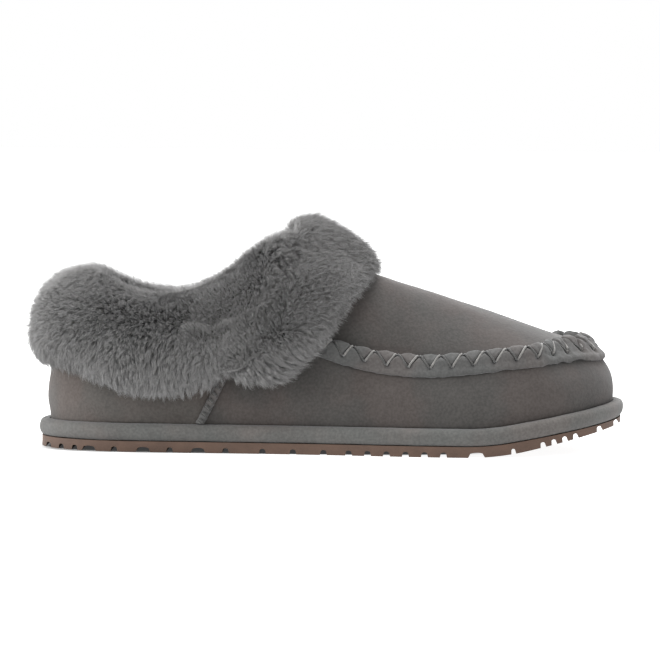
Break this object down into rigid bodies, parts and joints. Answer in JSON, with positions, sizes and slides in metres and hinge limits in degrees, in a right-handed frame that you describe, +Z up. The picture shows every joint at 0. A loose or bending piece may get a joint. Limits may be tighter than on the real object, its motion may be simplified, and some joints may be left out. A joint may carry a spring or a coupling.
{
  "type": "house slipper",
  "caption": "Right-foot closed house slipper with a moccasin toe, turned-down fleece cuffs, a wrapped midsole edge and a treaded rubber sole.",
  "frame": {"origin": "on the ground under the middle of the slipper's overall box", "axes": "+X points to the toe, +Y to the inner (medial) side and +Z up, away from the ground"},
  "size_m": [0.2714, 0.1067, 0.1047],
  "materials": {
    "gum_rubber": "matt moulded gum rubber, caramel brown",
    "midsole_foam": "closed-cell foam, plain grey",
    "wrap_suede": "fine-napped suede, cool mid grey",
    "fibre_board": "plain fibre stiffener board",
    "footbed_foam": "open-cell cushioning foam",
    "fleece_lining": "short dense wool pile, mid grey",
    "upper_suede": "suede with a mottled nap, warm mid grey",
    "welt_suede": "gathered suede edge, grey",
    "lacing_thread": "waxed thread, light grey",
    "sewing_thread": "fine sewing thread, grey",
    "tape": "woven reinforcing tape",
    "cuff_fleece": "long plush sheepskin pile, mid grey with lighter tips"
  },
  "bodies": {
    "root": {"outsole": "gum_rubber", "midsole_foam": "midsole_foam", "midsole_wrap": "wrap_suede", "insole_board": "fibre_board", "footbed_foam": "footbed_foam", "sock_lining": "fleece_lining", "vamp_wall": "upper_suede", "wall_lining": "fleece_lining", "toe_puff": "fibre_board", "vamp_plug": "upper_suede", "plug_lining": "fleece_lining", "moc_seam_welt": "welt_suede", "moc_seam_lacing": "lacing_thread", "heel_quarter": "upper_suede", "heel_lining": "fleece_lining", "heel_counter": "fibre_board", "topline_tape": "tape", "side_seam_welt_outer": "welt_suede", "side_seam_stitches_outer": "lacing_thread", "side_seam_welt_inner": "welt_suede", "side_seam_stitches_inner": "lacing_thread", "rear_cuff": "cuff_fleece", "front_cuff": "cuff_fleece", "rear_cuff_stitches": "sewing_thread", "front_cuff_stitches": "sewing_thread"}
  },
  "joints": []
}
